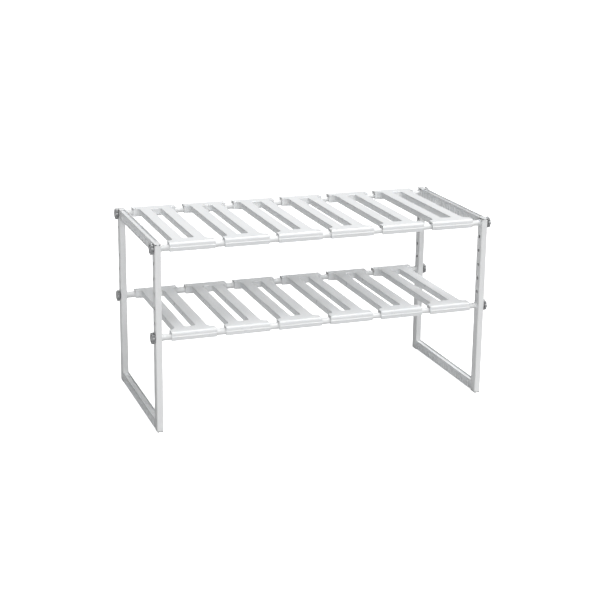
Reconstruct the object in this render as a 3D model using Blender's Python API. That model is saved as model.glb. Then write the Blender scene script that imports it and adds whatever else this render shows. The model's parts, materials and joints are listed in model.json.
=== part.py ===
"""Two-tier shelf riser whose width telescopes.

Two end frames stand on four feet. Four telescoping poles join them, two for each tier. Slotted
panels clip over the poles and slide along them. A hand knob holds each end of each pole to its post.

Units are metres and +Z is up. The origin is on the floor, in the middle of the footprint.
X runs along the width, and -Y is the front.
"""

import math

import bmesh
import bpy
from mathutils import Matrix
from mathutils.geometry import tessellate_polygon

# Overall size, measured over the end frames
WIDTH = 0.710
DEPTH = 0.320
HEIGHT = 0.385
FIT_GAP = 0.0003

# Upright posts: rectangular tube
POST_X = 0.013
POST_Y = 0.020
POST_WALL = 0.001
FOOT_HEIGHT = 0.003
CAP_PLATE = 0.0018
CAP_SHADOW_GAP = 0.002
CAP_NECK_HALF = 0.0020
CAP_SPIGOT_DEPTH = 0.0040
CAP_SHOULDER_HEIGHT = 0.0018
FOOT_INSET = 0.0006
FOOT_CHAMFER = 0.0012
FOOT_GROOVE_HALF = 0.0016
FOOT_SPIGOT_CLEARANCE = 0.001
POST_TOP = HEIGHT - CAP_PLATE - CAP_SHADOW_GAP
HOLE_RADIUS = 0.0036
HOLE_PITCH = 0.030
HOLE_COUNT = 7

# Rails between the posts: H-section beams with a shallow channel on top and a deep groove below
RAIL_HEIGHT = 0.020
RAIL_FLANGE = 0.002
RAIL_SHOULDER_Z = 0.0155
RAIL_RECESS = 0.0015
RAIL_LIP = 0.0015
RAIL_CHANNEL_DEPTH = 0.0033
RAIL_GROOVE_HALF = 0.0035
RAIL_GROOVE_TOP = 0.0150
RAIL_BLOCK_HALF = 0.0040
RAIL_BLOCK_LOW = 0.0010
RAIL_BLOCK_LENGTH = 0.006
TONGUE_X = 0.006
TONGUE_DEPTH = 0.0055
TONGUE_LOW = 0.0040
TONGUE_HIGH = 0.0115

# Poles
POLE_INSET = POST_Y / 2
TIER_Z = {"lower": 0.194, "upper": 0.374}
TUBE_LENGTH = 0.430
OUTER_TUBE_RADIUS = 0.0068
INNER_TUBE_RADIUS = 0.0060
OUTER_TUBE_WALL = 0.0005
INNER_TUBE_WALL = 0.0006
COLLAR_RADIUS = 0.0076
COLLAR_LENGTH = 0.0025
SPIGOT_LENGTH = 0.012
PLUG_BORE_RADIUS = 0.0034

# Knobs
KNOB_RADIUS = 0.012
KNOB_LOBE_DEPTH = 0.0015
KNOB_LOBES = 8
KNOB_RIM_THICKNESS = 0.0052
KNOB_NECK_RADIUS = 0.007
KNOB_NECK_LENGTH = 0.0016
STUD_RADIUS = 0.0029
STUD_LENGTH = 0.030
STUD_IN_KNOB = 0.005

# Panels
PANEL_COUNT = 6
PANEL_WIDTH = 0.092
PANEL_RISE = 0.011
PANEL_SKIRT = 0.013
PANEL_WALL = 0.0023
LIP_DROP = 0.007
LIP_HALF_DEPTH = 0.010
LIP_ROUND = 0.005
LIP_STEP = 0.0009
LIP_STEP_Z = 0.0010
LIP_HOOK_TOP = 0.0045
LIP_HOOK_THICKNESS = 0.0008
CHANNEL_RADIUS = 0.0073
HOOK_GAP = 0.0046
SLATS_HALF_WIDTH = 0.0338
FLARE_RADIUS = 0.0112
SLOT_HALF_WIDTH = 0.011
SLOT_HALF_LENGTH = 0.128
SLOT_CORNER = 0.005
TIER_SHIFT = {"lower": 0.0, "upper": -0.002}

# Facets of the round pieces
TUBE_SIDES = 12
HOLE_SIDES = 8


def material(name, colour, roughness, metallic=0.0):
    """A Principled BSDF material with one colour."""
    made = bpy.data.materials.new(name)
    made.use_nodes = True
    shader = made.node_tree.nodes["Principled BSDF"]
    shader.inputs["Base Color"].default_value = (*colour, 1.0)
    shader.inputs["Roughness"].default_value = roughness
    shader.inputs["Metallic"].default_value = metallic
    return made


def rectangle(half_a, half_b, centre_a=0.0, centre_b=0.0):
    """The corners of a rectangle, anticlockwise."""
    signs = ((-1, -1), (1, -1), (1, 1), (-1, 1))
    return [(centre_a + a * half_a, centre_b + b * half_b) for a, b in signs]


def arc(centre, radius, start, end, steps):
    """Points on an arc, with both ends. The angles are in degrees."""
    angles = [math.radians(start + (end - start) * i / steps) for i in range(steps + 1)]
    return [(centre[0] + radius * math.cos(a), centre[1] + radius * math.sin(a)) for a in angles]


def polygon(radius, sides, centre=(0.0, 0.0)):
    """The corners of a regular polygon."""
    return arc(centre, radius, 0.0, 360.0 * (sides - 1) / sides, sides - 1)


def place(axis, a, b, along):
    """A point of an outline in 3-D. The outline's plane is YZ for axis x, XZ for y and XY for z."""
    return {"x": (along, a, b), "y": (a, along, b), "z": (a, b, along)}[axis]


def add_prism(body, axis, loops, low, high):
    """Adds a closed prism. The first loop is its outline, and the others are holes through it."""
    rings = []
    for level in (low, high):
        rings.append([[body.verts.new(place(axis, a, b, level)) for a, b in loop] for loop in loops])
    outline = [[(a, b, 0.0) for a, b in loop] for loop in loops]
    for ring in rings:
        corners = [vert for loop in ring for vert in loop]
        if len(loops) == 1:
            body.faces.new(corners)
            continue
        for triangle in tessellate_polygon(outline):
            body.faces.new([corners[i] for i in triangle])
    for lower, upper in zip(*rings):
        for i in range(len(lower)):
            j = (i + 1) % len(lower)
            body.faces.new((lower[i], lower[j], upper[j], upper[i]))


def finished(body, name):
    """Turns a bmesh into a mesh whose faces point out."""
    bmesh.ops.recalc_face_normals(body, faces=body.faces)
    mesh = bpy.data.meshes.new(name)
    body.to_mesh(mesh)
    body.free()
    return mesh


def prisms(name, *parts):
    """A mesh of one or more separate prisms, each given as (axis, loops, low, high)."""
    body = bmesh.new()
    for part in parts:
        add_prism(body, *part)
    return finished(body, name)


def combine(name, first, second, operation):
    """The Boolean of two meshes, as a new mesh."""
    holder = bpy.data.objects.new("holder", first)
    tool = bpy.data.objects.new("tool", second)
    for item in (holder, tool):
        bpy.context.scene.collection.objects.link(item)
    modifier = holder.modifiers.new("combine", "BOOLEAN")
    modifier.operation = operation
    modifier.solver = "EXACT"
    modifier.object = tool
    bpy.context.view_layer.update()
    evaluated = holder.evaluated_get(bpy.context.evaluated_depsgraph_get())
    mesh = bpy.data.meshes.new_from_object(evaluated)
    mesh.name = name
    for item in (holder, tool):
        bpy.data.objects.remove(item)
    return mesh


def shade(mesh, angle=35.0):
    """Smooth shading, with sharp edges past the given angle."""
    mesh.shade_smooth()
    mesh.set_sharp_from_angle(angle=math.radians(angle))
    return mesh


def post_mesh():
    """A rectangular tube with a row of cross holes and two slots for the rails' tongues.

    The slots are on its +Y side."""
    ring = [
        rectangle(POST_X / 2, POST_Y / 2),
        rectangle(POST_X / 2 - POST_WALL, POST_Y / 2 - POST_WALL),
    ]
    tube = prisms("post_tube", ("z", ring, FOOT_HEIGHT, POST_TOP))
    heights = [TIER_Z["lower"] + HOLE_PITCH * i for i in range(HOLE_COUNT)]
    cutters = [
        ("x", [polygon(HOLE_RADIUS, HOLE_SIDES, (0.0, z))], -POST_X, POST_X) for z in heights
    ]
    half_height = (TONGUE_HIGH - TONGUE_LOW) / 2 + FIT_GAP
    for rail_z in (FOOT_HEIGHT, HEIGHT - RAIL_HEIGHT):
        middle = rail_z + (TONGUE_LOW + TONGUE_HIGH) / 2
        slot = rectangle(TONGUE_X / 2 + FIT_GAP, half_height, 0.0, middle)
        cutters.append(("y", [slot], POST_Y / 4, POST_Y))
    return combine("post", tube, prisms("post_cuts", *cutters), "DIFFERENCE")


def rail_mesh():
    """An H-section beam along Y with a solid block and a tongue at each end. z = 0 is its underside."""
    half_x = POST_X / 2
    web = half_x - RAIL_RECESS
    channel = half_x - RAIL_LIP
    channel_floor = RAIL_HEIGHT - RAIL_CHANNEL_DEPTH
    half_length = DEPTH / 2 - POST_Y - FIT_GAP
    right = [
        (RAIL_GROOVE_HALF, RAIL_GROOVE_TOP),
        (RAIL_GROOVE_HALF, 0.0),
        (half_x, 0.0),
        (half_x, RAIL_FLANGE),
        (web, RAIL_FLANGE),
        (web, RAIL_SHOULDER_Z),
        (half_x, RAIL_SHOULDER_Z),
        (half_x, RAIL_HEIGHT),
        (channel, RAIL_HEIGHT),
        (channel, channel_floor),
    ]
    section = right + [(-x, z) for x, z in reversed(right)]
    beam = prisms("beam", ("y", [section], -half_length, half_length))
    block_half_height = (RAIL_SHOULDER_Z - RAIL_BLOCK_LOW) / 2
    block_middle = (RAIL_SHOULDER_Z + RAIL_BLOCK_LOW) / 2
    block = rectangle(RAIL_BLOCK_HALF, block_half_height, 0.0, block_middle)
    block_end = half_length - RAIL_BLOCK_LENGTH
    blocks = prisms(
        "blocks", ("y", [block], -half_length, -block_end), ("y", [block], block_end, half_length)
    )
    beam = combine("beam_with_blocks", beam, blocks, "UNION")
    tongue_middle = (TONGUE_LOW + TONGUE_HIGH) / 2
    tongue = rectangle(TONGUE_X / 2, (TONGUE_HIGH - TONGUE_LOW) / 2, 0.0, tongue_middle)
    root = half_length - TONGUE_DEPTH
    tip = half_length + TONGUE_DEPTH
    tongues = prisms("tongues", ("y", [tongue], -tip, -root), ("y", [tongue], root, tip))
    return combine("rail", beam, tongues, "UNION")


def cap_mesh():
    """A post's top cap: a plate on a neck as deep as the post, and a shouldered spigot in its bore.

    z = 0 is the plate's top. The neck leaves a gap under the plate's left and right edges."""
    half_x = POST_X / 2
    neck_bottom = -CAP_PLATE - CAP_SHADOW_GAP + FIT_GAP
    spigot_bottom = -CAP_PLATE - CAP_SHADOW_GAP - CAP_SPIGOT_DEPTH
    shoulder_top = spigot_bottom + CAP_SHOULDER_HEIGHT
    shoulder = half_x - POST_WALL - FIT_GAP
    spigot_y = POST_Y / 2 - POST_WALL - FIT_GAP
    upper = [(CAP_NECK_HALF, neck_bottom), (CAP_NECK_HALF, -CAP_PLATE), (half_x, -CAP_PLATE), (half_x, 0.0)]
    lower = [
        (shoulder, spigot_bottom),
        (shoulder, shoulder_top),
        (CAP_NECK_HALF, shoulder_top),
        (CAP_NECK_HALF, -CAP_PLATE - CAP_SHADOW_GAP / 2),
    ]
    top, spigot = [
        prisms(name, ("y", [right + [(-x, z) for x, z in reversed(right)]], -reach, reach))
        for name, right, reach in (("cap_top", upper, POST_Y / 2), ("cap_spigot", lower, spigot_y))
    ]
    return combine("cap", top, spigot, "UNION")


def foot_mesh():
    """A post's foot: a pad with two runners under it and a spigot above. z = 0 is the floor."""
    half_x = POST_X / 2 - FOOT_INSET
    half_y = POST_Y / 2 - FOOT_INSET
    pad_top = FOOT_HEIGHT - FIT_GAP
    right = [
        (FOOT_GROOVE_HALF, FOOT_CHAMFER),
        (FOOT_GROOVE_HALF + FOOT_CHAMFER / 2, 0.0),
        (half_x - FOOT_CHAMFER, 0.0),
        (half_x, FOOT_CHAMFER),
        (half_x, pad_top),
    ]
    section = right + [(-x, z) for x, z in reversed(right)]
    pad = prisms("pad", ("y", [section], -half_y, half_y))
    spigot_outline = rectangle(
        POST_X / 2 - POST_WALL - FIT_GAP, POST_Y / 2 - POST_WALL - FIT_GAP
    )
    spigot_bottom = (FOOT_CHAMFER + pad_top) / 2
    spigot_top = FOOT_HEIGHT + TONGUE_LOW - FOOT_SPIGOT_CLEARANCE
    spigot = prisms("foot_spigot", ("z", [spigot_outline], spigot_bottom, spigot_top))
    return combine("foot", pad, spigot, "UNION")


def tube_mesh(name, radius, wall):
    """A round tube along X, from x = 0 to its length."""
    loops = [polygon(radius, TUBE_SIDES), polygon(radius - wall, TUBE_SIDES)]
    return shade(prisms(name, ("x", loops, 0.0, TUBE_LENGTH)))


def plug_mesh(name, tube_bore_radius):
    """A pole's end plug: a collar against the post, and a bored spigot inside the tube.

    x = 0 is the post's inner face, and the pole runs towards +X."""
    collar_end = FIT_GAP + COLLAR_LENGTH
    spigot_end = collar_end + SPIGOT_LENGTH
    collar_loop = polygon(COLLAR_RADIUS, TUBE_SIDES)
    spigot_loop = polygon(tube_bore_radius - FIT_GAP, TUBE_SIDES)
    collar = prisms("collar", ("x", [collar_loop], FIT_GAP, collar_end))
    spigot = prisms("plug_spigot", ("x", [spigot_loop], COLLAR_LENGTH / 2, spigot_end))
    solid = combine("plug_solid", collar, spigot, "UNION")
    bore_loop = polygon(PLUG_BORE_RADIUS, HOLE_SIDES)
    bore = prisms("plug_bore", ("x", [bore_loop], -COLLAR_LENGTH, spigot_end + COLLAR_LENGTH))
    return shade(combine(name, solid, bore, "DIFFERENCE"))


def knob_mesh():
    """A hand knob with a lobed rim on a short neck. x = 0 is the post's face, and +X is outward."""
    steps = KNOB_LOBES * 3
    rim = []
    for i in range(steps):
        angle = 2 * math.pi * i / steps
        radius = KNOB_RADIUS - KNOB_LOBE_DEPTH * (1 - math.cos(KNOB_LOBES * angle)) / 2
        rim.append((radius * math.cos(angle), radius * math.sin(angle)))
    rim_start = FIT_GAP + KNOB_NECK_LENGTH
    rim_end = rim_start + KNOB_RIM_THICKNESS
    head = prisms("rim", ("x", [rim], rim_start, rim_end))
    neck_loop = polygon(KNOB_NECK_RADIUS, TUBE_SIDES)
    neck = prisms("knob_neck", ("x", [neck_loop], FIT_GAP, rim_start + KNOB_NECK_LENGTH))
    solid = combine("knob_solid", head, neck, "UNION")
    bore_loop = polygon(PLUG_BORE_RADIUS, HOLE_SIDES)
    bore = prisms("knob_bore", ("x", [bore_loop], -rim_start, STUD_IN_KNOB + FIT_GAP))
    return shade(combine("knob", solid, bore, "DIFFERENCE"), 50.0)


def stud_mesh():
    """A knob's threaded stud, plain here. x = 0 is the post's outer face."""
    loop = polygon(STUD_RADIUS, HOLE_SIDES)
    return shade(prisms("stud", ("x", [loop], STUD_IN_KNOB - STUD_LENGTH, STUD_IN_KNOB)), 50.0)


def deck_outline(inset):
    """The plan outline of a panel between its two lips, anticlockwise, drawn in by inset.

    Each side runs straight along the slats, and flares out to the lip in a hollow curve."""
    lip_inner = DEPTH / 2 - POLE_INSET - LIP_HALF_DEPTH
    end = lip_inner + PANEL_WALL / 2 - inset
    centre = (SLATS_HALF_WIDTH + FLARE_RADIUS, lip_inner - FLARE_RADIUS)
    radius = FLARE_RADIUS + inset
    rise = min(1.0, (end - centre[1]) / radius)
    quarter = arc(centre, radius, 180.0, 180.0 - math.degrees(math.asin(rise)), 3)
    if inset == 0.0:
        quarter.append((centre[0], end))
    low_right = [(x, -y) for x, y in reversed(quarter)]
    high_left = [(-x, y) for x, y in reversed(quarter)]
    low_left = [(-x, -y) for x, y in quarter]
    return low_right + quarter + high_left + low_left


def slot_outline(offset):
    """The plan outline of a panel's long slot, grown by offset."""
    half_x = SLOT_HALF_WIDTH
    half_y = SLOT_HALF_LENGTH
    points = []
    for sign_x, sign_y, start in ((1, 1, 0), (-1, 1, 90), (-1, -1, 180), (1, -1, 270)):
        centre = (sign_x * (half_x - SLOT_CORNER), sign_y * (half_y - SLOT_CORNER))
        points += arc(centre, SLOT_CORNER + offset, start, start + 90, 2)
    return points


def deck_mesh():
    """The slotted middle of a panel, a tray that is open below. z = 0 is the pole's axis."""
    bottom = PANEL_RISE - PANEL_SKIRT
    ceiling = PANEL_RISE - PANEL_WALL
    outline = deck_outline(0.0)
    slot = slot_outline(0.0)
    tray = prisms("tray", ("z", [outline, slot], bottom, PANEL_RISE))
    hollow_loops = [deck_outline(PANEL_WALL), slot_outline(PANEL_WALL)]
    hollow = prisms("hollow", ("z", hollow_loops, bottom - PANEL_WALL, ceiling))
    return combine("deck", tray, hollow, "DIFFERENCE")


def lip_section():
    """A lip's section over the pole, as (outward, up) from the pole's axis.

    It is a C that is open below, with a hook at the foot of each leg."""
    outer = LIP_HALF_DEPTH
    upper = outer - LIP_STEP
    rounding = arc((upper - LIP_ROUND, PANEL_RISE - LIP_ROUND), LIP_ROUND, 0.0, 90.0, 3)
    hook_top = -LIP_HOOK_TOP
    hook_tip = -LIP_DROP + LIP_HOOK_THICKNESS
    channel = arc((0.0, 0.0), CHANNEL_RADIUS, 180.0, 0.0, 6)
    ledge_top = LIP_STEP_Z + LIP_STEP
    outside = [(outer, -LIP_DROP), (outer, LIP_STEP_Z), (upper, ledge_top)] + rounding
    inside_leg = [(-outer, PANEL_RISE), (-outer, -LIP_DROP), (-HOOK_GAP, -LIP_DROP)]
    inside_hook = [(-HOOK_GAP, hook_tip), (-CHANNEL_RADIUS, hook_top)]
    outside_hook = [(CHANNEL_RADIUS, hook_top), (HOOK_GAP, hook_tip), (HOOK_GAP, -LIP_DROP)]
    return outside + inside_leg + inside_hook + channel + outside_hook


def panel_mesh():
    """A whole panel: the deck and the two lips that clip over the poles. z = 0 is the pole's axis."""
    panel = deck_mesh()
    pole_y = DEPTH / 2 - POLE_INSET
    for side in (-1, 1):
        section = [(side * (pole_y + out), up) for out, up in lip_section()]
        lip = prisms("lip", ("x", [section], -PANEL_WIDTH / 2, PANEL_WIDTH / 2))
        panel = combine("panel", panel, lip, "UNION")
    return shade(panel)


def add(name, mesh, finish, location, turn=0.0, parent=None):
    """Adds one named piece. turn is its angle about Z in degrees."""
    item = bpy.data.objects.new(name, mesh)
    bpy.context.scene.collection.objects.link(item)
    if not mesh.materials:
        mesh.materials.append(finish)
    item.matrix_world = Matrix.Translation(location) @ Matrix.Rotation(math.radians(turn), 4, "Z")
    if parent:
        item.parent = parent
        item.matrix_parent_inverse = parent.matrix_world.inverted()
    return item


def frame_empty(name, x):
    """The empty that one end frame's pieces are parented to."""
    empty = bpy.data.objects.new(name, None)
    bpy.context.scene.collection.objects.link(empty)
    empty.location = (x, 0.0, 0.0)
    bpy.context.view_layer.update()
    return empty


def panel_centre_x(index, tier):
    """Where a panel's middle is along X. The panels share the free width evenly."""
    free = WIDTH - 2 * POST_X
    gap = (free - PANEL_COUNT * PANEL_WIDTH) / (PANEL_COUNT + 1)
    return -free / 2 + gap * (index + 1) + PANEL_WIDTH * (index + 0.5) + TIER_SHIFT[tier]


def clear_scene():
    """Removes every object of the scene."""
    for item in list(bpy.data.objects):
        bpy.data.objects.remove(item)


def build():
    """Makes every piece in its place."""
    clear_scene()
    white_paint = material("white_paint", (0.86, 0.87, 0.87), 0.35)
    white_plastic = material("white_plastic", (0.84, 0.85, 0.86), 0.45)
    knob_grey = material("knob_grey", (0.34, 0.35, 0.36), 0.3)
    zinc = material("zinc", (0.62, 0.63, 0.65), 0.35, 1.0)
    foot_plastic = material("foot_plastic", (0.62, 0.63, 0.64), 0.6)

    post = post_mesh()
    rail = rail_mesh()
    cap = cap_mesh()
    foot = foot_mesh()
    outer_tube = tube_mesh("outer_tube", OUTER_TUBE_RADIUS, OUTER_TUBE_WALL)
    inner_tube = tube_mesh("inner_tube", INNER_TUBE_RADIUS, INNER_TUBE_WALL)
    outer_plug = plug_mesh("outer_plug", OUTER_TUBE_RADIUS - OUTER_TUBE_WALL)
    inner_plug = plug_mesh("inner_plug", INNER_TUBE_RADIUS - INNER_TUBE_WALL)
    knob = knob_mesh()
    stud = stud_mesh()
    panel = panel_mesh()

    pole_y = DEPTH / 2 - POLE_INSET
    rows = (("front", -pole_y), ("back", pole_y))
    sides = (("left", -1, outer_plug), ("right", 1, inner_plug))
    frames = {}
    for side, sign, plug in sides:
        post_x = sign * (WIDTH - POST_X) / 2
        outer_face = sign * WIDTH / 2
        inner_face = sign * (WIDTH / 2 - POST_X)
        outward = 0.0 if sign > 0 else 180.0
        frame = frame_empty(f"{side}_frame", post_x)
        frames[side] = frame
        for row, y in rows:
            rail_side = 0.0 if y < 0 else 180.0
            add(f"post_{row}_{side}", post, white_paint, (post_x, y, 0.0), rail_side, parent=frame)
            cap_place = (post_x, y, HEIGHT)
            add(f"post_cap_{row}_{side}", cap, white_plastic, cap_place, parent=frame)
            add(f"foot_{row}_{side}", foot, foot_plastic, (post_x, y, 0.0), parent=frame)
            for tier, z in TIER_Z.items():
                label = f"{tier}_{row}_{side}"
                inward = outward + 180.0
                inner_end = (inner_face, y, z)
                add(f"end_plug_{label}", plug, white_plastic, inner_end, inward, parent=frame)
                outer_end = (outer_face, y, z)
                add(f"knob_{label}", knob, knob_grey, outer_end, outward, parent=frame)
                add(f"knob_stud_{label}", stud, zinc, outer_end, outward, parent=frame)
        bottom_place = (post_x, 0.0, FOOT_HEIGHT)
        add(f"bottom_rail_{side}", rail, white_plastic, bottom_place, parent=frame)
        top_place = (post_x, 0.0, HEIGHT - RAIL_HEIGHT)
        add(f"top_rail_{side}", rail, white_plastic, top_place, parent=frame)

    tube_start = WIDTH / 2 - POST_X - COLLAR_LENGTH - 2 * FIT_GAP
    for tier, z in TIER_Z.items():
        for row, y in rows:
            left_end = (-tube_start, y, z)
            right_end = (tube_start, y, z)
            name = f"{tier}_{row}"
            add(f"outer_tube_{name}", outer_tube, white_paint, left_end, parent=frames["left"])
            add(
                f"inner_tube_{name}", inner_tube, white_paint, right_end, 180.0, parent=frames["right"]
            )
        for index in range(PANEL_COUNT):
            centre = (panel_centre_x(index, tier), 0.0, z)
            add(f"panel_{tier}_{index + 1}", panel, white_plastic, centre)


build()
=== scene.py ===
"""Looks for the two-tier shelf riser: fine meshes, finishes, floor, light and camera.

Each fine piece stands for one CAD node. It is built in its own frame, in metres, and takes its place from
that node's box. Poles, plugs, knobs and studs lie along X, rails and panels along Y, and posts along Z.
"""

import json
import math

import bmesh
import bpy
from mathutils import Matrix, Vector
from mathutils.geometry import tessellate_polygon

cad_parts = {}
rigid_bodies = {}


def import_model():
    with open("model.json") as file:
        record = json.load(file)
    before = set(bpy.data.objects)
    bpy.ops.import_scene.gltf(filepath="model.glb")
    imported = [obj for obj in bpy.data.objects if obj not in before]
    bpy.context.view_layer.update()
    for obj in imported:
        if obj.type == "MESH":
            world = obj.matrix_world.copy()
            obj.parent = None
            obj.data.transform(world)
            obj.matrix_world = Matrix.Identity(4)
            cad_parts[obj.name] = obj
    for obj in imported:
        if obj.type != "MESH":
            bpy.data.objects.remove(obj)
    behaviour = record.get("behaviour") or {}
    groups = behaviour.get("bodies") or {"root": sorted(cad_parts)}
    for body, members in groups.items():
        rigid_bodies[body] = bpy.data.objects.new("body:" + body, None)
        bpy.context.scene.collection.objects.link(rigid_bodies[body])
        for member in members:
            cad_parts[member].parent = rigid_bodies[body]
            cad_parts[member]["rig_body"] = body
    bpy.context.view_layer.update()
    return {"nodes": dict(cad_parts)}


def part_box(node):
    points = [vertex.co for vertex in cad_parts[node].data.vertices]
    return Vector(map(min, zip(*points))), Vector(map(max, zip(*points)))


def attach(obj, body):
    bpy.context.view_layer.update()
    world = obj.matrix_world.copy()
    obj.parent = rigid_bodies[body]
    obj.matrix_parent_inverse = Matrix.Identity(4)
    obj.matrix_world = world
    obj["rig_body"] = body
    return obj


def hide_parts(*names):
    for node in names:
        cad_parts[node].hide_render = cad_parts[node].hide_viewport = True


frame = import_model()
NODES = frame["nodes"]

ROWS = ("front", "back")
SIDES = ("left", "right")
TIERS = ("lower", "upper")


def centre(node):
    """The middle of a CAD node's box."""
    low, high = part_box(node)
    return (low + high) / 2


def extent(node):
    """The size of a CAD node's box."""
    low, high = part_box(node)
    return high - low


# Driving sizes, read from the frame
POST_X, POST_Y, _ = extent("post_front_left")
POST_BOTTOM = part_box("post_front_left")[0].z
POST_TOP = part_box("post_front_left")[1].z
RACK_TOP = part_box("post_cap_front_left")[1].z
TIER_Z = {tier: centre(f"outer_tube_{tier}_front").z for tier in TIERS}
RAIL_HEIGHT = extent("bottom_rail_left").z
RAIL_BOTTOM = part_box("bottom_rail_left")[0].z
RAIL_TIP = extent("bottom_rail_left").y / 2
TUBE_LENGTH = extent("outer_tube_lower_front").x
OUTER_TUBE_RADIUS = extent("outer_tube_lower_front").y / 2
INNER_TUBE_RADIUS = extent("inner_tube_lower_front").y / 2
PANEL_WIDTH = extent("panel_lower_1").x
POLE_Y = centre("outer_tube_lower_back").y
PANEL_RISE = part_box("panel_lower_1")[1].z - TIER_Z["lower"]
LIP_DROP = TIER_Z["lower"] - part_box("panel_lower_1")[0].z
LIP_HALF_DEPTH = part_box("panel_lower_1")[1].y - POLE_Y

# The clearance between neighbouring pieces
FIT_GAP = 0.0003

# Mesh tools: angles in degrees, and how near points and planes count as the same
FLAT_ANGLE = 0.6
SHARP_ANGLE = 30.0
LEVEL = 0.00002
MERGE_DISTANCE = LEVEL / 4
FLAT_FACE_WEIGHT = 80

# Posts
POST_WALL = 0.001
POST_CORNER = 0.0019
HOLE_RADIUS = 0.0036
HOLE_PITCH = 0.030
HOLE_COUNT = 7
POST_EDGE = 0.00022

# Rails
RAIL_FLANGE = 0.002
RAIL_SHOULDER_Z = 0.0155
RAIL_RECESS = 0.0015
RAIL_LIP = 0.0015
RAIL_CHANNEL_DEPTH = 0.0033
RAIL_GROOVE_HALF = 0.0035
RAIL_GROOVE_TOP = 0.0150
RAIL_BLOCK_HALF = 0.0040
RAIL_BLOCK_LOW = 0.0010
RAIL_BLOCK_LENGTH = 0.006
RIB_COUNT = 22
RIB_PITCH = 0.012
RIB_THICKNESS = 0.0012
RIB_ROOT = 0.0005
BOSS_COUNT = 11
BOSS_PITCH = 0.024
BOSS_LENGTH = 0.0050
BOSS_HEIGHT = 0.0045
TONGUE_X = 0.006
TONGUE_DEPTH = 0.0055
TONGUE_LOW = 0.0040
TONGUE_HIGH = 0.0115
RAIL_EDGE = 0.00022

# Caps and feet
CAP_PLATE = 0.0018
CAP_NECK_HALF = 0.0020
CAP_SHOULDER_HEIGHT = 0.0018
CAP_EDGE = 0.0004
FOOT_INSET = 0.0006
FOOT_NUB = 0.0012
FOOT_GROOVE_HALF = 0.0016
FOOT_EDGE = 0.0004

# Poles and plugs
OUTER_TUBE_WALL = 0.0005
INNER_TUBE_WALL = 0.0006
TUBE_STEPS = 48
COLLAR_RADIUS = 0.0076
COLLAR_LENGTH = 0.0025
SPIGOT_LENGTH = 0.012
PLUG_BORE_RADIUS = 0.0034
PLUG_EASE = 0.0006

# Knobs
KNOB_RADIUS = 0.012
KNOB_LOBES = 8
KNOB_LOBE_DEPTH = 0.0016
KNOB_STEPS = 96
KNOB_NECK_RADIUS = 0.007
KNOB_NECK_LENGTH = 0.0016
KNOB_RIM_THICKNESS = 0.0052
KNOB_LOBE_FADE = 1.5
KNOB_LOBE_SHARPNESS = 1.4
KNOB_EASE = 0.0003
KNOB_BACK_ROUND = 0.0010
KNOB_FRONT_ROUND = 0.0013
KNOB_RING_INNER = 0.0084
KNOB_DISH_DEPTH = 0.0013
KNOB_CAP_RADIUS = 0.0062
KNOB_CAP_ROUND = 0.0007
STUD_RADIUS = 0.0029
STUD_LENGTH = 0.030
STUD_IN_KNOB = 0.005
STUD_STEPS = 20
THREAD_PITCH = 0.001
THREAD_DEPTH = 0.00045
ROWS_PER_PITCH = 6
THREAD_SHARP_ANGLE = 60.0

# Panels
PANEL_SKIRT = 0.013
PANEL_WALL = 0.0023
LIP_ROUND = 0.0048
LIP_STEP = 0.0009
LIP_STEP_Z = 0.0010
LIP_TUCK = 0.0012
LIP_HOOK_TOP = 0.0045
LIP_HOOK_THICKNESS = 0.0008
CHANNEL_RADIUS = 0.0073
HOOK_GAP = 0.0046
SLATS_HALF_WIDTH = 0.0338
FLARE_RADIUS = 0.0112
SLOT_HALF_WIDTH = 0.011
SLOT_HALF_LENGTH = 0.128
SLOT_CORNER = 0.005
STIFFENER_PITCH = 0.032
STIFFENER_COUNT = 7
STIFFENER_THICKNESS = 0.0014
STIFFENER_DEPTH = 0.0065
TOP_ROUND = 0.0011
EDGE_SHARE = 0.32
FACING_UP = 0.999
SMOOTH_INDEX = 0
GRAINED_INDEX = 1


# ---------------------------------------------------------------- outlines


def rectangle(half_a, half_b, centre_a=0.0, centre_b=0.0):
    """The corners of a rectangle, anticlockwise."""
    signs = ((-1, -1), (1, -1), (1, 1), (-1, 1))
    return [(centre_a + a * half_a, centre_b + b * half_b) for a, b in signs]


def arc(middle, radius, start, end, steps):
    """Points on an arc, with both ends. The angles are in degrees."""
    angles = [math.radians(start + (end - start) * i / steps) for i in range(steps + 1)]
    return [(middle[0] + radius * math.cos(a), middle[1] + radius * math.sin(a)) for a in angles]


def circle(radius, steps, middle=(0.0, 0.0)):
    """The corners of a regular polygon."""
    return arc(middle, radius, 0.0, 360.0 * (steps - 1) / steps, steps - 1)


def rounded(half_a, half_b, corner, steps):
    """A rectangle with round corners, anticlockwise."""
    points = []
    for sign_a, sign_b, start in ((1, 1, 0), (-1, 1, 90), (-1, -1, 180), (1, -1, 270)):
        middle = (sign_a * (half_a - corner), sign_b * (half_b - corner))
        points += arc(middle, corner, start, start + 90, steps)
    return points


# ---------------------------------------------------------------- mesh tools


def place(axis, a, b, along):
    """A point of an outline in 3-D. The outline's plane is YZ for axis x, XZ for y and XY for z."""
    return {"x": (along, a, b), "y": (a, along, b), "z": (a, b, along)}[axis]


def add_prism(body, axis, loops, low, high):
    """Adds a closed prism. The first loop is its outline, and the others are holes through it."""
    rings = []
    for level in (low, high):
        rings.append([[body.verts.new(place(axis, a, b, level)) for a, b in loop] for loop in loops])
    outline = [[(a, b, 0.0) for a, b in loop] for loop in loops]
    for ring in rings:
        corners = [vert for loop in ring for vert in loop]
        if len(loops) == 1:
            body.faces.new(corners)
            continue
        for triangle in tessellate_polygon(outline):
            body.faces.new([corners[i] for i in triangle])
    for lower, upper in zip(*rings):
        for i in range(len(lower)):
            j = (i + 1) % len(lower)
            body.faces.new((lower[i], lower[j], upper[j], upper[i]))


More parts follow.
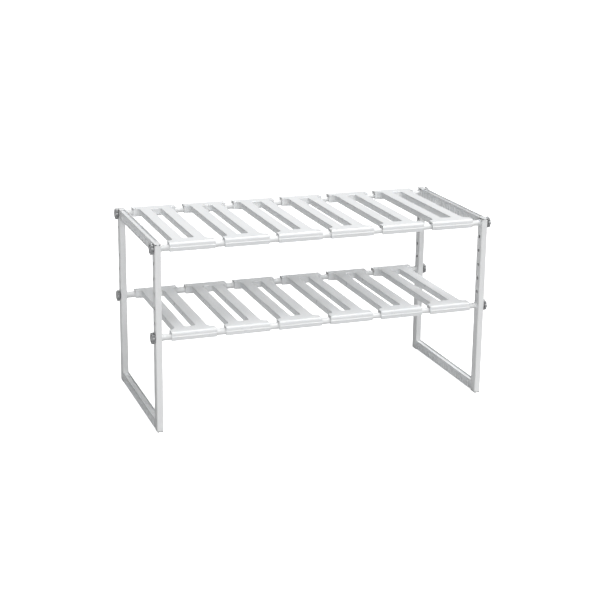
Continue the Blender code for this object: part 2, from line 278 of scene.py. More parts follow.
def finished(body, name):
    """Turns a bmesh into a mesh whose faces point out."""
    bmesh.ops.recalc_face_normals(body, faces=body.faces)
    mesh = bpy.data.meshes.new(name)
    body.to_mesh(mesh)
    body.free()
    return mesh


def prisms(name, *parts):
    """A mesh of one or more separate prisms, each given as (axis, loops, low, high)."""
    body = bmesh.new()
    for part in parts:
        add_prism(body, *part)
    return finished(body, name)


def evaluated(holder, name):
    """The mesh that an object's modifiers make. The object is removed."""
    bpy.context.view_layer.update()
    result = holder.evaluated_get(bpy.context.evaluated_depsgraph_get())
    mesh = bpy.data.meshes.new_from_object(result)
    mesh.name = name
    bpy.data.objects.remove(holder)
    return mesh


def held(mesh):
    """A scratch object for a mesh."""
    holder = bpy.data.objects.new("holder", mesh)
    bpy.context.scene.collection.objects.link(holder)
    return holder


def combine(name, first, second, operation):
    """The Boolean of two meshes, as a new mesh."""
    holder = held(first)
    tool = held(second)
    modifier = holder.modifiers.new("combine", "BOOLEAN")
    modifier.operation = operation
    modifier.solver = "EXACT"
    modifier.object = tool
    mesh = evaluated(holder, name)
    bpy.data.objects.remove(tool)
    return mesh


def cleaned(mesh):
    """Merges faces that lie in one plane, and points that lie together."""
    body = bmesh.new()
    body.from_mesh(mesh)
    bmesh.ops.remove_doubles(body, verts=body.verts, dist=MERGE_DISTANCE)
    bmesh.ops.dissolve_limit(
        body,
        angle_limit=math.radians(FLAT_ANGLE),
        verts=body.verts,
        edges=body.edges,
        use_dissolve_boundaries=False,
    )
    bmesh.ops.recalc_face_normals(body, faces=body.faces)
    body.to_mesh(mesh)
    body.free()
    return mesh


def softened(name, mesh, width, share=None, segments=2):
    """Rounds a mesh's sharp edges, and keeps its flat faces flat to the light.

    share(edge) gives an edge's part of the full width. Without it every sharp edge takes the full width."""
    cleaned(mesh)
    body = bmesh.new()
    body.from_mesh(mesh)
    layer = body.edges.layers.float.new("bevel_weight_edge")
    for edge in body.edges:
        if edge.calc_face_angle(0.0) > math.radians(SHARP_ANGLE):
            edge[layer] = share(edge) if share else 1.0
    body.to_mesh(mesh)
    body.free()
    mesh.shade_smooth()
    holder = held(mesh)
    bevel = holder.modifiers.new("round", "BEVEL")
    bevel.limit_method = "WEIGHT"
    bevel.width = width
    bevel.segments = segments
    bevel.use_clamp_overlap = False
    bevel.miter_outer = "MITER_SHARP"
    weighted = holder.modifiers.new("flats", "WEIGHTED_NORMAL")
    weighted.keep_sharp = True
    weighted.weight = FLAT_FACE_WEIGHT
    return evaluated(holder, name)


def turned(name, profile, steps, loop=False, radius_at=None, edge_angle=50.0):
    """A body of revolution about X. The profile is a list of (x, radius), and loop closes it on itself.

    radius_at(radius, angle) may change the radius round the turn."""
    body = bmesh.new()
    rings = []
    for x, radius in profile:
        if radius == 0.0:
            rings.append([body.verts.new((x, 0.0, 0.0))])
            continue
        ring = []
        for i in range(steps):
            angle = 2 * math.pi * i / steps
            r = radius_at(radius, angle) if radius_at else radius
            ring.append(body.verts.new((x, r * math.cos(angle), r * math.sin(angle))))
        rings.append(ring)
    pairs = list(zip(rings, rings[1:]))
    if loop:
        pairs.append((rings[-1], rings[0]))
    for near, far in pairs:
        for i in range(steps):
            j = (i + 1) % steps
            corners = [near[i % len(near)], near[j % len(near)], far[j % len(far)], far[i % len(far)]]
            body.faces.new(list(dict.fromkeys(corners)))
    mesh = finished(body, name)
    mesh.shade_smooth()
    mesh.set_sharp_from_angle(angle=math.radians(edge_angle))
    return mesh


# ---------------------------------------------------------------- pieces


def post_mesh():
    """A rectangular tube with round corners, a row of cross holes and two slots for the rails' tongues."""
    bore_x = POST_X / 2 - POST_WALL
    bore_y = POST_Y / 2 - POST_WALL
    ring = [
        rounded(POST_X / 2, POST_Y / 2, POST_CORNER, steps=6),
        rounded(bore_x, bore_y, POST_CORNER - POST_WALL, steps=6),
    ]
    tube = prisms("post_tube", ("z", ring, POST_BOTTOM, POST_TOP))
    heights = [TIER_Z["lower"] + HOLE_PITCH * i for i in range(HOLE_COUNT)]
    holes = [circle(HOLE_RADIUS, steps=28, middle=(0.0, z)) for z in heights]
    cutters = [("x", [hole], -POST_X, POST_X) for hole in holes]
    half_height = (TONGUE_HIGH - TONGUE_LOW) / 2 + FIT_GAP
    for rail_z in (RAIL_BOTTOM, RACK_TOP - RAIL_HEIGHT):
        middle = rail_z + (TONGUE_LOW + TONGUE_HIGH) / 2
        slot = rectangle(TONGUE_X / 2 + FIT_GAP, half_height, 0.0, middle)
        cutters.append(("y", [slot], POST_Y / 4, POST_Y))
    cut = combine("post_cut", tube, prisms("post_cutters", *cutters), "DIFFERENCE")
    return softened("post", cut, POST_EDGE)


def rail_section():
    """A rail's H section as (x, z): a shallow channel on top, a deep groove below, and recessed sides."""
    half_x = POST_X / 2
    web = half_x - RAIL_RECESS
    channel = half_x - RAIL_LIP
    channel_floor = RAIL_HEIGHT - RAIL_CHANNEL_DEPTH
    right = [
        (RAIL_GROOVE_HALF, RAIL_GROOVE_TOP),
        (RAIL_GROOVE_HALF, 0.0),
        (half_x, 0.0),
        (half_x, RAIL_FLANGE),
        (web, RAIL_FLANGE),
        (web, RAIL_SHOULDER_Z),
        (half_x, RAIL_SHOULDER_Z),
        (half_x, RAIL_HEIGHT),
        (channel, RAIL_HEIGHT),
        (channel, channel_floor),
    ]
    return right + [(-x, z) for x, z in reversed(right)]


def rail_studding():
    """The fine upright ribs and the small bosses of a rail's recessed sides, as prisms along Y."""
    half_depth = (RAIL_RECESS + RIB_ROOT) / 2
    middle_x = POST_X / 2 - half_depth
    rib_low = RAIL_FLANGE - RIB_ROOT
    high = RAIL_SHOULDER_Z + RIB_ROOT
    boss_low = RAIL_SHOULDER_Z - BOSS_HEIGHT
    parts = []
    for side in (-1, 1):
        rib = rectangle(half_depth, (high - rib_low) / 2, side * middle_x, (high + rib_low) / 2)
        boss = rectangle(half_depth, (high - boss_low) / 2, side * middle_x, (high + boss_low) / 2)
        for outline, count, pitch, length in (
            (rib, RIB_COUNT, RIB_PITCH, RIB_THICKNESS),
            (boss, BOSS_COUNT, BOSS_PITCH, BOSS_LENGTH),
        ):
            for i in range(count):
                y = pitch * (i - (count - 1) / 2)
                parts.append(("y", [outline], y - length / 2, y + length / 2))
    return parts


def rail_mesh():
    """An H-section beam along Y with ribbed sides, and a solid block and a tongue at each end.

    z = 0 is its underside."""
    half_length = RAIL_TIP - TONGUE_DEPTH
    beam = prisms("beam", ("y", [rail_section()], -half_length, half_length))
    block_half_height = (RAIL_SHOULDER_Z - RAIL_BLOCK_LOW) / 2
    block_middle = (RAIL_SHOULDER_Z + RAIL_BLOCK_LOW) / 2
    block = rectangle(RAIL_BLOCK_HALF, block_half_height, 0.0, block_middle)
    block_end = half_length - RAIL_BLOCK_LENGTH
    blocks = [("y", [block], -half_length, -block_end), ("y", [block], block_end, half_length)]
    tongue = rectangle(TONGUE_X / 2, (TONGUE_HIGH - TONGUE_LOW) / 2, 0.0, (TONGUE_LOW + TONGUE_HIGH) / 2)
    root = half_length - TONGUE_DEPTH
    tongues = [("y", [tongue], -RAIL_TIP, -root), ("y", [tongue], root, RAIL_TIP)]
    for name, parts in (("blocks", blocks), ("tongues", tongues), ("studding", rail_studding())):
        beam = combine("rail_whole", beam, prisms(name, *parts), "UNION")
    return softened("rail", beam, RAIL_EDGE)


def cap_mesh():
    """A post's top cap: a plate on a neck as deep as the post, and a shouldered spigot in its bore.

    z = 0 is its top. The neck leaves a gap under the plate's left and right edges."""
    low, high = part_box("post_cap_front_left")
    spigot_bottom = low.z - high.z
    shoulder_top = spigot_bottom + CAP_SHOULDER_HEIGHT
    post_top = POST_TOP - RACK_TOP
    neck_bottom = post_top + FIT_GAP
    spigot_top = (post_top - CAP_PLATE) / 2
    shoulder = POST_X / 2 - POST_WALL - FIT_GAP
    spigot_y = POST_Y / 2 - POST_WALL - FIT_GAP
    plate_outline = rounded(POST_X / 2, POST_Y / 2, POST_CORNER, steps=5)
    plate = prisms("plate", ("z", [plate_outline], -CAP_PLATE, 0.0))
    neck_outline = rectangle(CAP_NECK_HALF, POST_Y / 2)
    neck = prisms("neck", ("z", [neck_outline], neck_bottom, -CAP_PLATE / 2))
    right = [
        (shoulder, spigot_bottom),
        (shoulder, shoulder_top),
        (CAP_NECK_HALF, shoulder_top),
        (CAP_NECK_HALF, spigot_top),
    ]
    section = right + [(-x, z) for x, z in reversed(right)]
    spigot = prisms("spigot", ("y", [section], -spigot_y, spigot_y))
    top = combine("cap_top", plate, neck, "UNION")
    return softened("cap", combine("cap_whole", top, spigot, "UNION"), CAP_EDGE, segments=3)


def foot_mesh():
    """A post's foot: a pad with two round nubs under it and a spigot above. z = 0 is the floor."""
    half_x = POST_X / 2 - FOOT_INSET
    half_y = POST_Y / 2 - FOOT_INSET
    pad_top = POST_BOTTOM - FIT_GAP
    low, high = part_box("foot_front_left")
    nub_half = (half_x - FOOT_GROOVE_HALF) / 2
    nub_middle = FOOT_GROOVE_HALF + nub_half
    lower_half = arc((0.0, 0.0), 1.0, start=180.0, end=360.0, steps=12)
    nub = [(nub_middle + nub_half * x, FOOT_NUB * (1 + z)) for x, z in lower_half]
    right = nub + [(half_x, pad_top)]
    section = right + [(-x, z) for x, z in reversed(right)]
    pad = prisms("pad", ("y", [section], -half_y, half_y))
    spigot_x = POST_X / 2 - POST_WALL - FIT_GAP
    spigot_y = POST_Y / 2 - POST_WALL - FIT_GAP
    spigot_outline = rounded(spigot_x, spigot_y, POST_CORNER - POST_WALL, steps=4)
    spigot_bottom = (FOOT_NUB + pad_top) / 2
    spigot = prisms("foot_spigot", ("z", [spigot_outline], spigot_bottom, high.z - low.z))
    return softened("foot", combine("foot_whole", pad, spigot, "UNION"), FOOT_EDGE, segments=3)


def tube_mesh(name, radius, wall):
    """A round tube along X from x = 0, with eased ends."""
    ease = wall / 3
    bore = radius - wall
    near_end = [(0.0, bore + ease), (0.0, radius - ease), (ease, radius)]
    far_end = [(TUBE_LENGTH - ease, radius), (TUBE_LENGTH, radius - ease), (TUBE_LENGTH, bore + ease)]
    inside = [(TUBE_LENGTH - ease, bore), (ease, bore)]
    return turned(name, near_end + far_end + inside, TUBE_STEPS, loop=True)


def plug_mesh(name, tube_bore):
    """A pole's end plug: a round-edged collar against the post, and a bored spigot inside the tube."""
    collar_end = FIT_GAP + COLLAR_LENGTH
    spigot_end = collar_end + SPIGOT_LENGTH
    spigot = tube_bore - FIT_GAP
    ease = PLUG_EASE
    back = [
        (FIT_GAP, PLUG_BORE_RADIUS),
        (FIT_GAP, COLLAR_RADIUS - ease / 2),
        (FIT_GAP + ease / 2, COLLAR_RADIUS),
    ]
    edge_middle = (collar_end - ease, COLLAR_RADIUS - ease)
    edge = arc(edge_middle, ease, start=90.0, end=0.0, steps=4)
    front = [
        (collar_end, spigot),
        (spigot_end - ease, spigot),
        (spigot_end, spigot - ease),
        (spigot_end, PLUG_BORE_RADIUS),
    ]
    return turned(name, back + edge + front, TUBE_STEPS, loop=True)


def lobed(radius, angle):
    """A knob's radius round its turn: finger scallops, deepest at the rim and none at the neck."""
    reach = (radius - KNOB_NECK_RADIUS) / (KNOB_RADIUS - KNOB_NECK_RADIUS)
    share = max(0.0, min(1.0, reach)) ** KNOB_LOBE_FADE
    scallop = ((1 - math.cos(KNOB_LOBES * angle)) / 2) ** KNOB_LOBE_SHARPNESS
    return radius - KNOB_LOBE_DEPTH * share * scallop


def knob_mesh():
    """A hand knob: a neck, a scalloped rim, and a dished face with a raised cap in its middle.

    x = 0 is the post's face, and +X is outward."""
    back = FIT_GAP + KNOB_NECK_LENGTH
    front = back + KNOB_RIM_THICKNESS
    bore_end = FIT_GAP + STUD_IN_KNOB
    ease = KNOB_EASE
    dish_floor = front - KNOB_DISH_DEPTH
    cap_front = front - ease
    neck = [
        (FIT_GAP, KNOB_NECK_RADIUS - ease),
        (FIT_GAP + ease, KNOB_NECK_RADIUS),
        (back - ease, KNOB_NECK_RADIUS),
        (back, KNOB_NECK_RADIUS + ease),
    ]
    back_middle = (back + KNOB_BACK_ROUND, KNOB_RADIUS - KNOB_BACK_ROUND)
    front_middle = (front - KNOB_FRONT_ROUND, KNOB_RADIUS - KNOB_FRONT_ROUND)
    rim = arc(back_middle, KNOB_BACK_ROUND, start=180.0, end=90.0, steps=4)
    rim += arc(front_middle, KNOB_FRONT_ROUND, start=90.0, end=0.0, steps=6)
    dish = [
        (front, KNOB_RING_INNER + ease),
        (front - ease, KNOB_RING_INNER),
        (dish_floor, KNOB_RING_INNER - 2 * ease),
        (dish_floor, KNOB_CAP_RADIUS),
    ]
    crown_middle = (cap_front - KNOB_CAP_ROUND, KNOB_CAP_RADIUS - KNOB_CAP_ROUND)
    crown = arc(crown_middle, KNOB_CAP_ROUND, start=90.0, end=20.0, steps=4)
    crown += [(front - ease / 2, KNOB_CAP_RADIUS / 2), (front, 0.0)]
    bore = [(bore_end, 0.0), (bore_end, PLUG_BORE_RADIUS), (FIT_GAP, PLUG_BORE_RADIUS)]
    profile = bore + neck + rim + dish + crown
    return turned("knob", profile, KNOB_STEPS, radius_at=lobed, edge_angle=45.0)


def stud_mesh():
    """A knob's threaded stud with tapered ends. x = 0 is the post's outer face."""
    rows = round(STUD_LENGTH / THREAD_PITCH * ROWS_PER_PITCH)
    start = STUD_IN_KNOB - STUD_LENGTH
    body = bmesh.new()
    rings = []
    for row in range(rows + 1):
        along = STUD_LENGTH * row / rows
        to_end = min(along, STUD_LENGTH - along)
        taper = THREAD_DEPTH * max(0.0, 1 - to_end / THREAD_PITCH)
        ring = []
        for i in range(STUD_STEPS):
            turn = (along / THREAD_PITCH - i / STUD_STEPS) % 1.0
            radius = STUD_RADIUS - THREAD_DEPTH * abs(2 * turn - 1) - taper
            angle = 2 * math.pi * i / STUD_STEPS
            point = (start + along, radius * math.cos(angle), radius * math.sin(angle))
            ring.append(body.verts.new(point))
        rings.append(ring)
    for near, far in zip(rings, rings[1:]):
        for i in range(STUD_STEPS):
            j = (i + 1) % STUD_STEPS
            body.faces.new((near[i], near[j], far[j], far[i]))
    body.faces.new(rings[0])
    body.faces.new(rings[-1])
    mesh = finished(body, "stud")
    mesh.shade_smooth()
    mesh.set_sharp_from_angle(angle=math.radians(THREAD_SHARP_ANGLE))
    return mesh


def deck_outline(inset):
    """The plan outline of a panel between its two lips, anticlockwise, drawn in by inset.

    Each side runs straight along the slats, and flares out to the lip in a hollow curve."""
    lip_inner = POLE_Y - LIP_HALF_DEPTH
    end = lip_inner + PANEL_WALL / 2 - inset
    middle = (SLATS_HALF_WIDTH + FLARE_RADIUS, lip_inner - FLARE_RADIUS)
    radius = FLARE_RADIUS + inset
    rise = min(1.0, (end - middle[1]) / radius)
    flare_end = 180.0 - math.degrees(math.asin(rise))
    quarter = arc(middle, radius, start=180.0, end=flare_end, steps=9)
    if inset == 0.0:
        quarter.append((middle[0], end))
    low_right = [(x, -y) for x, y in reversed(quarter)]
    high_left = [(-x, y) for x, y in reversed(quarter)]
    low_left = [(-x, -y) for x, y in quarter]
    return low_right + quarter + high_left + low_left


def slot_outline(offset):
    """The plan outline of a panel's long slot, grown by offset."""
    half_x = SLOT_HALF_WIDTH + offset
    half_y = SLOT_HALF_LENGTH + offset
    return rounded(half_x, half_y, SLOT_CORNER + offset, steps=7)


def stiffeners():
    """The cross ribs under a panel's two slats, as prisms."""
    ceiling = PANEL_RISE - PANEL_WALL
    bottom = ceiling - STIFFENER_DEPTH
    half_x = (SLATS_HALF_WIDTH - SLOT_HALF_WIDTH - PANEL_WALL) / 2
    middle_x = (SLATS_HALF_WIDTH + SLOT_HALF_WIDTH) / 2
    ribs = []
    for i in range(STIFFENER_COUNT):
        y = STIFFENER_PITCH * (i - (STIFFENER_COUNT - 1) / 2)
        for side in (-1, 1):
            outline = rectangle(half_x, STIFFENER_THICKNESS / 2, side * middle_x, y)
            ribs.append(("z", [outline], bottom, ceiling + PANEL_WALL / 2))
    return ribs


def lip_section():
    """A lip's section over the pole, as (outward, up) from the pole's axis.

    It is a C that is open below, with a hook at the foot of each leg. The outer leg's face is stepped,
    and below the step it draws in towards its foot."""
    outer = LIP_HALF_DEPTH
    upper = outer - LIP_STEP
    ledge_top = LIP_STEP_Z + LIP_STEP
    hook_tip = -LIP_DROP + LIP_HOOK_THICKNESS
    round_middle = (upper - LIP_ROUND, PANEL_RISE - LIP_ROUND)
    rounding = arc(round_middle, LIP_ROUND, start=0.0, end=90.0, steps=8)
    channel = arc((0.0, 0.0), CHANNEL_RADIUS, start=180.0, end=0.0, steps=16)
    outside = [(outer - LIP_TUCK, -LIP_DROP), (outer, LIP_STEP_Z), (upper, ledge_top)] + rounding
    inside_leg = [(-outer, PANEL_RISE), (-outer, -LIP_DROP), (-HOOK_GAP, -LIP_DROP)]
    inside_hook = [(-HOOK_GAP, hook_tip), (-CHANNEL_RADIUS, -LIP_HOOK_TOP)]
    outside_hook = [(CHANNEL_RADIUS, -LIP_HOOK_TOP), (HOOK_GAP, hook_tip), (HOOK_GAP, -LIP_DROP)]
    return outside + inside_leg + inside_hook + channel + outside_hook


def top_edges_wider(edge):
    """The full width for the edges round a panel's top face, and a small share for the others."""
    on_top = all(abs(vert.co.z - PANEL_RISE) < LEVEL for vert in edge.verts)
    return 1.0 if on_top else EDGE_SHARE


def panel_mesh(grained, smooth):
    """A whole panel: a slotted tray with cross ribs below, and two lips that clip over the poles.

    z = 0 is the pole's axis. The slats' flat tops take the grained finish."""
    bottom = PANEL_RISE - PANEL_SKIRT
    ceiling = PANEL_RISE - PANEL_WALL
    tray = prisms("tray", ("z", [deck_outline(0.0), slot_outline(0.0)], bottom, PANEL_RISE))
    hollow_loops = [deck_outline(PANEL_WALL), slot_outline(PANEL_WALL)]
    hollow = prisms("hollow", ("z", hollow_loops, bottom - PANEL_WALL, ceiling))
    panel = combine("deck", tray, hollow, "DIFFERENCE")
    panel = combine("ribbed_deck", panel, prisms("stiffeners", *stiffeners()), "UNION")
    for side in (-1, 1):
        section = [(side * (POLE_Y + out), up) for out, up in lip_section()]
        lip = prisms("lip", ("x", [section], -PANEL_WIDTH / 2, PANEL_WIDTH / 2))
        panel = combine("panel_whole", panel, lip, "UNION")
    mesh = softened("panel", panel, TOP_ROUND, share=top_edges_wider, segments=3)
    mesh.materials.clear()
    mesh.materials.append(smooth)
    mesh.materials.append(grained)
    grain_end = POLE_Y - LIP_HALF_DEPTH
    for face in mesh.polygons:
        flat_top = face.normal.z > FACING_UP and abs(face.center.z - PANEL_RISE) < LEVEL
        is_grained = flat_top and abs(face.center.y) < grain_end
        face.material_index = GRAINED_INDEX if is_grained else SMOOTH_INDEX
    return mesh


# ---------------------------------------------------------------- finishes

# The part of a noise texture's range that holds nearly all of its values
NOISE_LOW = 0.3
NOISE_HIGH = 0.7


class Finish:
    """A node material in the making: its nodes, links and shader, and a pattern place for each piece."""

    def __init__(self, name, colour, roughness):
        self.material = bpy.data.materials.new(name)
        self.material.use_nodes = True
        self.nodes = self.material.node_tree.nodes
        self.links = self.material.node_tree.links
        self.shader = self.nodes["Principled BSDF"]
        self.shader.inputs["Base Color"].default_value = (*colour, 1.0)
        self.shader.inputs["Roughness"].default_value = roughness
        where = self.nodes.new("ShaderNodeTexCoord")
        piece = self.nodes.new("ShaderNodeObjectInfo")
        shift = self.nodes.new("ShaderNodeVectorMath")
        shift.operation = "ADD"
        self.links.new(where.outputs["Object"], shift.inputs[0])
        self.links.new(piece.outputs["Random"], shift.inputs[1])
        self.vector = shift.outputs["Vector"]

    def noise(self, scale, detail=2.0, roughness=0.5):
        """A noise texture's value, from 0 to 1. The scale is in cells for each metre."""
        texture = self.nodes.new("ShaderNodeTexNoise")
        texture.inputs["Scale"].default_value = scale
        texture.inputs["Detail"].default_value = detail
        texture.inputs["Roughness"].default_value = roughness
        self.links.new(self.vector, texture.inputs["Vector"])
        return texture.outputs["Fac"]

    def vary_roughness(self, value, low, high):
        """Roughness that runs from low to high with a noise's value."""
        change = self.nodes.new("ShaderNodeMapRange")
        change.inputs["From Min"].default_value = NOISE_LOW
        change.inputs["From Max"].default_value = NOISE_HIGH
        change.inputs["To Min"].default_value = low
        change.inputs["To Max"].default_value = high
        self.links.new(value, change.inputs["Value"])
        self.links.new(change.outputs["Result"], self.shader.inputs["Roughness"])

    def tint(self, value, dark, light):
        """Base colour that runs from dark to light with a noise's value."""
        ramp = self.nodes.new("ShaderNodeValToRGB")
        ramp.color_ramp.elements[0].position = NOISE_LOW
        ramp.color_ramp.elements[0].color = (*dark, 1.0)
        ramp.color_ramp.elements[1].position = NOISE_HIGH
        ramp.color_ramp.elements[1].color = (*light, 1.0)
        self.links.new(value, ramp.inputs["Fac"])
        self.links.new(ramp.outputs["Color"], self.shader.inputs["Base Color"])

    def relief(self, value, depth, strength, under=None):
        """Surface relief of the given depth in metres, over another relief if one is given."""
        bump = self.nodes.new("ShaderNodeBump")
        bump.inputs["Distance"].default_value = depth
        bump.inputs["Strength"].default_value = strength
        self.links.new(value, bump.inputs["Height"])
        if under:
            self.links.new(under, bump.inputs["Normal"])
        self.links.new(bump.outputs["Normal"], self.shader.inputs["Normal"])
        return bump.outputs["Normal"]


def powder_coat(name):
    """Satin white powder coat on steel: orange peel and faint unevenness."""
    coat = Finish(name, colour=(0.78, 0.785, 0.785), roughness=0.34)
    coat.tint(coat.noise(14.0, detail=3.0), dark=(0.765, 0.772, 0.775), light=(0.80, 0.805, 0.805))
    coat.vary_roughness(coat.noise(60.0), low=0.28, high=0.40)
    peel = coat.relief(coat.noise(700.0, detail=1.0), depth=0.00003, strength=0.7)
    coat.relief(coat.noise(3200.0, detail=1.0), depth=0.000008, strength=0.6, under=peel)
    return coat.material


def moulded_plastic(name, grain):
    """White moulded polypropylene. The grained kind has a spark-etched surface, and the other is smooth."""
    white = Finish(name, colour=(0.78, 0.79, 0.795), roughness=0.4)
    white.tint(white.noise(9.0, detail=4.0), dark=(0.762, 0.775, 0.783), light=(0.80, 0.808, 0.812))
    white.shader.inputs["Subsurface Weight"].default_value = 0.08
    white.shader.inputs["Subsurface Radius"].default_value = (1.0, 0.9, 0.8)
    white.shader.inputs["Subsurface Scale"].default_value = 0.0015
    low, high = (0.46, 0.6) if grain else (0.26, 0.38)
    white.vary_roughness(white.noise(90.0), low, high)
    flow = white.relief(white.noise(45.0, detail=2.0), depth=0.0002, strength=0.25)
    if grain:
        etching = white.noise(1100.0, detail=3.0, roughness=0.65)
        white.relief(etching, depth=0.00009, strength=0.8, under=flow)
    else:
        white.relief(white.noise(2600.0, detail=1.0), depth=0.00001, strength=0.5, under=flow)
    return white.material


def knob_plastic(name):
    """Glossy mid-grey moulded plastic with a clear skin."""
    grey = Finish(name, colour=(0.22, 0.225, 0.23), roughness=0.22)
    grey.tint(grey.noise(220.0, detail=3.0), dark=(0.20, 0.205, 0.21), light=(0.25, 0.255, 0.26))
    grey.vary_roughness(grey.noise(500.0), low=0.16, high=0.3)
    grey.shader.inputs["Coat Weight"].default_value = 0.8
    grey.shader.inputs["Coat Roughness"].default_value = 0.08
    grey.relief(grey.noise(1800.0, detail=1.0), depth=0.00001, strength=0.6)
    return grey.material


def zinc_plate(name):
    """Bright zinc plate with a faint crystalline mottling."""
    zinc = Finish(name, colour=(0.62, 0.63, 0.65), roughness=0.3)
    zinc.shader.inputs["Metallic"].default_value = 1.0
    zinc.tint(zinc.noise(900.0, detail=2.0), dark=(0.55, 0.56, 0.58), light=(0.70, 0.71, 0.72))
    zinc.vary_roughness(zinc.noise(1500.0), low=0.22, high=0.42)
    zinc.relief(zinc.noise(4000.0, detail=1.0), depth=0.000006, strength=0.5)
    return zinc.material


def foot_plastic(name):
    """Soft pale grey plastic, slightly scuffed."""
    pale = Finish(name, colour=(0.52, 0.53, 0.53), roughness=0.5)
    pale.tint(pale.noise(350.0, detail=3.0), dark=(0.48, 0.49, 0.49), light=(0.57, 0.58, 0.58))
    pale.vary_roughness(pale.noise(700.0), low=0.42, high=0.62)
    pale.relief(pale.noise(1500.0, detail=2.0), depth=0.00003, strength=0.6)
    return pale.material


# ---------------------------------------------------------------- assembly


def put(node, mesh, finish, spot, turn=0.0):
    """Shows a fine mesh in place of a CAD node. turn is its angle about Z in degrees."""
    piece = bpy.data.objects.new(f"{node}_fine", mesh)
    bpy.context.scene.collection.objects.link(piece)
    if finish and not mesh.materials:
        mesh.materials.append(finish)
    piece.matrix_world = Matrix.Translation(spot) @ Matrix.Rotation(math.radians(turn), 4, "Z")
    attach(piece, NODES[node]["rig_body"])
    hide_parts(node)


def end_frames(coat, plastic, foot_finish, knob_finish, stud_finish):
    """Posts, caps, feet, rails, plugs, knobs and studs of both end frames."""
    post = post_mesh()
    rail = rail_mesh()
    cap = cap_mesh()
    foot = foot_mesh()
    knob = knob_mesh()
    stud = stud_mesh()
    plugs = {
        "left": plug_mesh("outer_plug", OUTER_TUBE_RADIUS - OUTER_TUBE_WALL),
        "right": plug_mesh("inner_plug", INNER_TUBE_RADIUS - INNER_TUBE_WALL),
    }
    for side in SIDES:
        is_left = side == "left"
        outward = 180.0 if is_left else 0.0
        inward = 180.0 - outward
        sign = -1 if is_left else 1
        for row in ROWS:
            spot = centre(f"post_{row}_{side}")
            rail_side = 0.0 if row == "front" else 180.0
            put(f"post_{row}_{side}", post, coat, (spot.x, spot.y, 0.0), rail_side)
            put(f"post_cap_{row}_{side}", cap, plastic, (spot.x, spot.y, RACK_TOP))
            put(f"foot_{row}_{side}", foot, foot_finish, (spot.x, spot.y, 0.0))
            outer_face = spot.x + sign * POST_X / 2
            inner_face = spot.x - sign * POST_X / 2
            for tier in TIERS:
                label = f"{tier}_{row}_{side}"
                z = TIER_Z[tier]
                put(f"end_plug_{label}", plugs[side], plastic, (inner_face, spot.y, z), inward)
                put(f"knob_{label}", knob, knob_finish, (outer_face, spot.y, z), outward)
                put(f"knob_stud_{label}", stud, stud_finish, (outer_face, spot.y, z), outward)
        rail_x = centre(f"bottom_rail_{side}").x
        put(f"bottom_rail_{side}", rail, plastic, (rail_x, 0.0, RAIL_BOTTOM))
        put(f"top_rail_{side}", rail, plastic, (rail_x, 0.0, RACK_TOP - RAIL_HEIGHT))


def poles(coat):
    """The telescoping tubes: outer ones from the left frame, inner ones from the right."""
    outer = tube_mesh("outer_tube", OUTER_TUBE_RADIUS, OUTER_TUBE_WALL)
    inner = tube_mesh("inner_tube", INNER_TUBE_RADIUS, INNER_TUBE_WALL)
    for tier in TIERS:
        for row in ROWS:
            node = f"outer_tube_{tier}_{row}"
            spot = centre(node)
            put(node, outer, coat, (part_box(node)[0].x, spot.y, spot.z))
            node = f"inner_tube_{tier}_{row}"
            put(node, inner, coat, (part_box(node)[1].x, spot.y, spot.z), 180.0)


def panels(grained, smooth):
    """The slotted panels of both tiers."""
    panel = panel_mesh(grained, smooth)
    for node in sorted(NODES):
        if node.startswith("panel_"):
            tier = node.split("_")[1]
            put(node, panel, None, (centre(node).x, 0.0, TIER_Z[tier]))


# ---------------------------------------------------------------- studio

CAMERA_PLACE = Vector((-0.965, -2.616, 1.050))
CAMERA_YAW = 0.353
CAMERA_PITCH = 0.254
CAMERA_ROLL = -0.012
CAMERA_LENS = 82.1
CAMERA_SENSOR = 36.0
CAMERA_SHIFT_Y = -0.1
CAMERA_FAR = 200.0
FLOOR_HALF = 40.0
FLOOR_DROP = 0.0001
FLOOR_GLOW = 1.0
SURROUND_LIGHT = 0.10
SURROUND_LOOK = 1.05
SURROUND_COLOUR = (0.95, 0.975, 1.0, 1.0)


def studio_floor():
    """A plain floor that looks evenly white yet throws little light back up.

    Seen from below it is clear, so that the underside can be looked at."""
    body = bmesh.new()
    body.faces.new([body.verts.new((a, b, -FLOOR_DROP)) for a, b in rectangle(FLOOR_HALF, FLOOR_HALF)])
    mesh = bpy.data.meshes.new("floor")
    body.to_mesh(mesh)
    body.free()
    floor = bpy.data.objects.new("floor", mesh)
    bpy.context.scene.collection.objects.link(floor)
    even = Finish("even_floor", colour=(0.58, 0.58, 0.58), roughness=0.8)
    even.tint(even.noise(3.0), dark=(0.57, 0.575, 0.58), light=(0.59, 0.59, 0.59))
    nodes = even.nodes
    links = even.links
    shader = even.shader
    shader.inputs["Specular IOR Level"].default_value = 0.2
    shader.inputs["Emission Color"].default_value = (1.0, 1.0, 1.0, 1.0)
    seen = nodes.new("ShaderNodeLightPath")
    glow = nodes.new("ShaderNodeMath")
    glow.operation = "MULTIPLY"
    glow.inputs[1].default_value = FLOOR_GLOW
    links.new(seen.outputs["Is Camera Ray"], glow.inputs[0])
    links.new(glow.outputs["Value"], shader.inputs["Emission Strength"])
    side = nodes.new("ShaderNodeNewGeometry")
    clear = nodes.new("ShaderNodeBsdfTransparent")
    mix = nodes.new("ShaderNodeMixShader")
    links.new(side.outputs["Backfacing"], mix.inputs["Fac"])
    links.new(shader.outputs["BSDF"], mix.inputs[1])
    links.new(clear.outputs["BSDF"], mix.inputs[2])
    links.new(mix.outputs["Shader"], nodes["Material Output"].inputs["Surface"])
    mesh.materials.append(even.material)


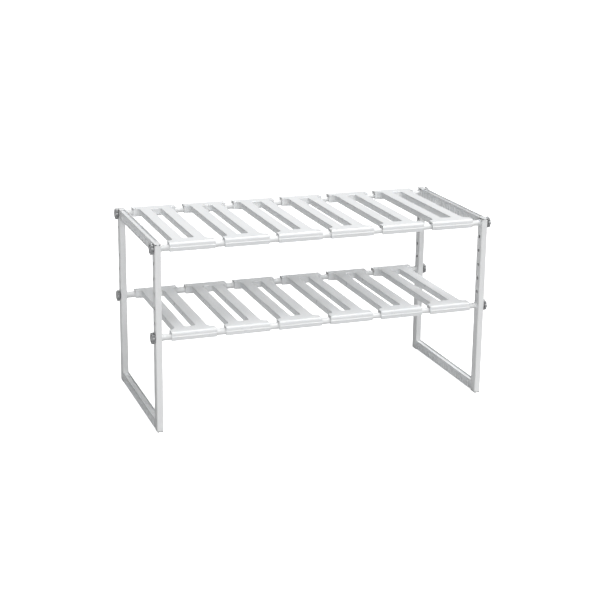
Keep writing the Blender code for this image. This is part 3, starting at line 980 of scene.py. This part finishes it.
def sun(name, azimuth, elevation, strength, softness):
    """A soft far light. Azimuth 0 shines from the front and 90 from the right, in degrees."""
    data = bpy.data.lights.new(name, "SUN")
    data.energy = strength
    data.angle = math.radians(softness)
    lamp = bpy.data.objects.new(name, data)
    bpy.context.scene.collection.objects.link(lamp)
    a = math.radians(azimuth)
    e = math.radians(elevation)
    towards = Vector((math.sin(a) * math.cos(e), -math.cos(a) * math.cos(e), math.sin(e)))
    lamp.rotation_mode = "QUATERNION"
    lamp.rotation_quaternion = towards.to_track_quat("Z", "Y")


def studio_light():
    """A high soft key, a low front light, and a surround that looks white yet throws little light."""
    sun("key", azimuth=65.0, elevation=66.0, strength=3.1, softness=50.0)
    sun("front", azimuth=-20.0, elevation=32.0, strength=1.2, softness=35.0)
    world = bpy.data.worlds.new("surround")
    world.use_nodes = True
    background = world.node_tree.nodes["Background"]
    background.inputs["Color"].default_value = SURROUND_COLOUR
    tree = world.node_tree
    seen = tree.nodes.new("ShaderNodeLightPath")
    level = tree.nodes.new("ShaderNodeMapRange")
    level.inputs["To Min"].default_value = SURROUND_LIGHT
    level.inputs["To Max"].default_value = SURROUND_LOOK
    tree.links.new(seen.outputs["Is Camera Ray"], level.inputs["Value"])
    tree.links.new(level.outputs["Result"], background.inputs["Strength"])
    bpy.context.scene.world = world


def studio_camera():
    """The camera, looking slightly down, with a slight roll and a small shift for the framing."""
    data = bpy.data.cameras.new("camera")
    data.lens = CAMERA_LENS
    data.sensor_width = CAMERA_SENSOR
    data.shift_y = CAMERA_SHIFT_Y
    data.clip_end = CAMERA_FAR
    camera = bpy.data.objects.new("camera", data)
    bpy.context.scene.collection.objects.link(camera)
    level = math.cos(CAMERA_PITCH)
    yaw_sine = math.sin(CAMERA_YAW)
    yaw_cosine = math.cos(CAMERA_YAW)
    forward = Vector((yaw_sine * level, yaw_cosine * level, -math.sin(CAMERA_PITCH)))
    right = Vector((yaw_cosine, -yaw_sine, 0.0))
    down = forward.cross(right)
    rolled_right = math.cos(CAMERA_ROLL) * right + math.sin(CAMERA_ROLL) * down
    rolled_down = math.cos(CAMERA_ROLL) * down - math.sin(CAMERA_ROLL) * right
    axes = Matrix((rolled_right, -rolled_down, -forward)).transposed()
    camera.matrix_world = Matrix.Translation(CAMERA_PLACE) @ axes.to_4x4()
    bpy.context.scene.camera = camera


def main():
    """Builds every piece, then the studio."""
    coat = powder_coat("white_powder_coat")
    grey = knob_plastic("grey_knob_plastic")
    smooth = moulded_plastic("white_plastic_smooth", grain=False)
    grained = moulded_plastic("white_plastic_grained", grain=True)
    end_frames(coat, smooth, foot_plastic("pale_foot_plastic"), grey, zinc_plate("zinc"))
    poles(coat)
    panels(grained, smooth)
    studio_floor()
    studio_light()
    studio_camera()
    bpy.context.scene.view_settings.view_transform = "Standard"


main()
